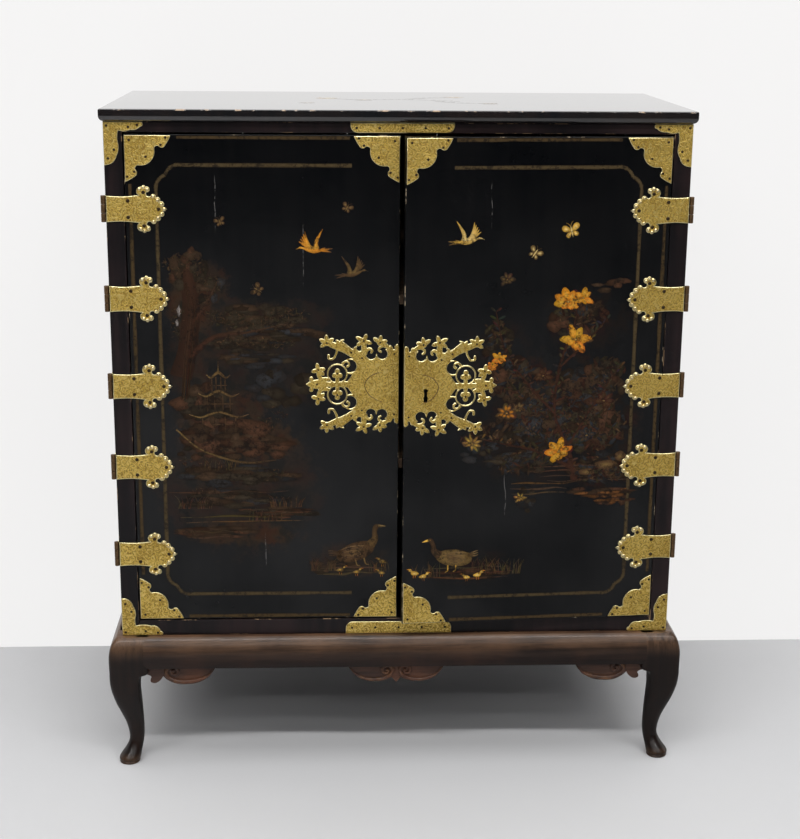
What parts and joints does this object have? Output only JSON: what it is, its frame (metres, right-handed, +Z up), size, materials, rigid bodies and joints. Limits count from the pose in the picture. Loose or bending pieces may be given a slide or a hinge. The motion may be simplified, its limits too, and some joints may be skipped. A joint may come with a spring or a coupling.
{
  "type": "lacquer cabinet on stand",
  "caption": "Black lacquered cabinet with hinged doors, inner shelves, brass straps, corner plates and lock plates, on a low stand with shaped aprons and cabriole legs.",
  "frame": {"origin": "on the floor under the middle of the cabinet's bounding box, with the right door slightly ajar", "axes": "+Z up; the front with the doors faces -Y; +X is to the right as seen from the front"},
  "size_m": [0.997, 0.5082, 1.1396],
  "materials": {
    "black_lacquer": "black japanned lacquer on softwood, polished, cracked and chipped at the edges",
    "plain_wood": "bare softwood, aged",
    "dark_walnut": "dark stained hardwood, waxed",
    "chased_brass": "sheet brass, pierced and chased, worn bright",
    "lock_iron": "forged, dull"
  },
  "bodies": {
    "case": {"top_board": "black_lacquer", "carcass_top": "black_lacquer", "carcass_bottom": "black_lacquer", "left_side": "black_lacquer", "right_side": "black_lacquer", "back_panel": "plain_wood", "lower_shelf": "plain_wood", "upper_shelf": "plain_wood", "front_moulding": "dark_walnut", "left_moulding": "dark_walnut", "right_moulding": "dark_walnut", "front_rail": "dark_walnut", "left_rail": "dark_walnut", "right_rail": "dark_walnut", "back_rail": "dark_walnut", "front_left_leg": "dark_walnut", "front_right_leg": "dark_walnut", "rear_left_leg": "dark_walnut", "rear_right_leg": "dark_walnut", "case_corner_top_left": "chased_brass", "case_corner_top_right": "chased_brass", "case_corner_bottom_left": "chased_brass", "case_corner_bottom_right": "chased_brass", "rail_plate_top": "chased_brass", "rail_plate_bottom": "chased_brass", "left_hinge_leaf_1": "chased_brass", "left_hinge_leaf_2": "chased_brass", "left_hinge_leaf_3": "chased_brass", "left_hinge_leaf_4": "chased_brass", "left_hinge_leaf_5": "chased_brass", "right_hinge_leaf_1": "chased_brass", "right_hinge_leaf_2": "chased_brass", "right_hinge_leaf_3": "chased_brass", "right_hinge_leaf_4": "chased_brass", "right_hinge_leaf_5": "chased_brass"},
    "left_door": {"left_door": "black_lacquer", "left_hinge_strap_1": "chased_brass", "left_hinge_strap_2": "chased_brass", "left_hinge_strap_3": "chased_brass", "left_hinge_strap_4": "chased_brass", "left_hinge_strap_5": "chased_brass", "left_door_corner_top_outer": "chased_brass", "left_door_corner_top_inner": "chased_brass", "left_door_corner_bottom_outer": "chased_brass", "left_door_corner_bottom_inner": "chased_brass", "left_lock_plate": "chased_brass"},
    "right_door": {"right_door": "black_lacquer", "right_hinge_strap_1": "chased_brass", "right_hinge_strap_2": "chased_brass", "right_hinge_strap_3": "chased_brass", "right_hinge_strap_4": "chased_brass", "right_hinge_strap_5": "chased_brass", "right_door_corner_top_outer": "chased_brass", "right_door_corner_top_inner": "chased_brass", "right_door_corner_bottom_outer": "chased_brass", "right_door_corner_bottom_inner": "chased_brass", "right_lock_plate": "chased_brass", "lock_case": "lock_iron"},
    "lock_bolt": {"lock_bolt": "lock_iron"},
    "door_bolt": {"door_bolt": "lock_iron"}
  },
  "joints": [
    {"name": "left_door_hinge", "type": "hinge", "parent": "case", "child": "left_door", "pos_m": [-0.4791, -0.21737, 0.6848], "axis": [0, 0, -1], "range_deg": [0, 180]},
    {"name": "right_door_hinge", "type": "hinge", "parent": "case", "child": "right_door", "pos_m": [0.4791, -0.21737, 0.6848], "axis": [0, 0, 1], "range_deg": [-4, 176]},
    {"name": "lock_bolt_slide", "type": "slide", "parent": "right_door", "child": "lock_bolt", "axis": [-0.9976, -0.0698, 0], "range_m": [0, 0.012]},
    {"name": "door_bolt_slide", "type": "slide", "parent": "left_door", "child": "door_bolt", "axis": [0, 0, 1], "range_m": [0, 0.012]}
  ]
}
